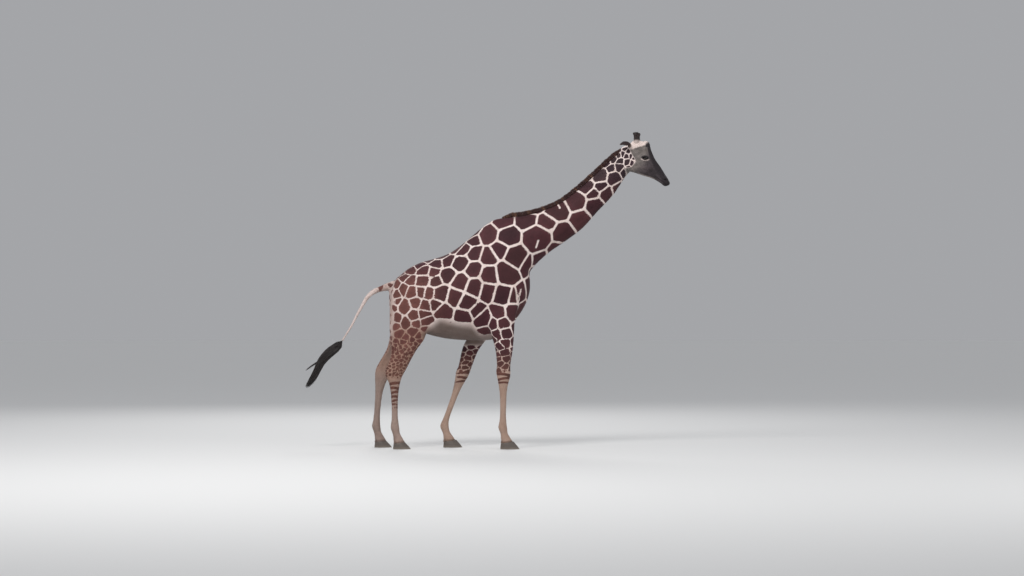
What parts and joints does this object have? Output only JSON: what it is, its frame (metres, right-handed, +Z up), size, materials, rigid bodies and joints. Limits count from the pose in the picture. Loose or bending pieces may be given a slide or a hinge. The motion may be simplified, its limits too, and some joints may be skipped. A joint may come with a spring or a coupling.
{
  "type": "reticulated giraffe",
  "caption": "Life-size still model of an adult male reticulated giraffe in mid-walk, neck stretched forward and tail swung out behind.",
  "frame": {"origin": "on the floor, under the middle of the model's box", "axes": "+X towards the muzzle, +Y to the animal's left, +Z up"},
  "size_m": [4.7362, 0.7338, 4.1152],
  "materials": {
    "short_coat": "short flat hair, dark brown patches parted by near-white lines",
    "hoof_horn": "satin horn",
    "eye": "wet gloss",
    "tail_hair": "long black hair"
  },
  "bodies": {
    "root": {"torso": "short_coat", "neck_lower": "short_coat", "neck_middle": "short_coat", "neck_upper": "short_coat", "head": "short_coat", "leg_fore_right_upper": "short_coat", "leg_fore_right_lower": "short_coat", "leg_fore_left_upper": "short_coat", "leg_fore_left_lower": "short_coat", "leg_hind_right_upper": "short_coat", "leg_hind_right_lower": "short_coat", "leg_hind_left_upper": "short_coat", "leg_hind_left_lower": "short_coat", "ear_right": "short_coat", "ear_left": "short_coat", "ossicone_right": "short_coat", "ossicone_left": "short_coat", "tail": "short_coat", "hoof_fore_right_inner": "hoof_horn", "hoof_fore_right_outer": "hoof_horn", "hoof_fore_left_inner": "hoof_horn", "hoof_fore_left_outer": "hoof_horn", "hoof_hind_right_inner": "hoof_horn", "hoof_hind_right_outer": "hoof_horn", "hoof_hind_left_inner": "hoof_horn", "hoof_hind_left_outer": "hoof_horn", "eye_right": "eye", "eye_left": "eye", "tail_tuft": "tail_hair"}
  },
  "joints": []
}
